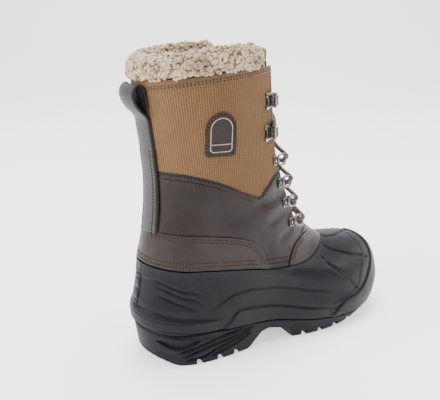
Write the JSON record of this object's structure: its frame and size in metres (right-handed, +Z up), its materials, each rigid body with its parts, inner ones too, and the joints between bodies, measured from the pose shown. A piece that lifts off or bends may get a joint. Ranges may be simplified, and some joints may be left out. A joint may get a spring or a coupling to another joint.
{
  "type": "fleece-lined ankle boot",
  "caption": "Right winter pac boot with a moulded rubber lower, leather and woven shaft, laced front, pull loop and a curly fleece collar.",
  "frame": {"origin": "on the floor under the middle of the boot's bounding box", "axes": "+X towards the toe, +Y towards the medial (inner) side of this right boot, +Z up"},
  "size_m": [0.2971, 0.1161, 0.29],
  "materials": {
    "outsole_rubber": "moulded, satin",
    "shell_rubber": "moulded, satin",
    "upper_leather": "smooth, semi-matt",
    "overlay_leather": "smooth, semi-matt",
    "badge_leather": "smooth",
    "tongue_nylon": "woven",
    "binding_nylon": "woven",
    "insole_felt": "felted",
    "fleece": "curly pile",
    "strap_tape": "coated tape",
    "ring_metal": "aged",
    "hook_metal": "blackened",
    "lace_cord": "braided"
  },
  "bodies": {
    "root": {"back_strap": "strap_tape", "badge": "badge_leather", "collar_binding": "binding_nylon", "counter": "overlay_leather", "fleece_collar": "fleece", "insole": "insole_felt", "lace_cross_1": "lace_cord", "lace_cross_2": "lace_cord", "lace_cross_3": "lace_cord", "lace_cross_4": "lace_cord", "lace_cross_5": "lace_cord", "lace_hook_lateral_1": "hook_metal", "lace_hook_lateral_2": "hook_metal", "lace_hook_medial_1": "hook_metal", "lace_hook_medial_2": "hook_metal", "lace_ring_lateral_1": "ring_metal", "lace_ring_lateral_2": "ring_metal", "lace_ring_lateral_3": "ring_metal", "lace_ring_lateral_4": "ring_metal", "lace_ring_medial_1": "ring_metal", "lace_ring_medial_2": "ring_metal", "lace_ring_medial_3": "ring_metal", "lace_ring_medial_4": "ring_metal", "outsole": "outsole_rubber", "rubber_shell": "shell_rubber", "tongue": "tongue_nylon", "upper": "upper_leather", "vamp_tab": "overlay_leather"}
  },
  "joints": []
}
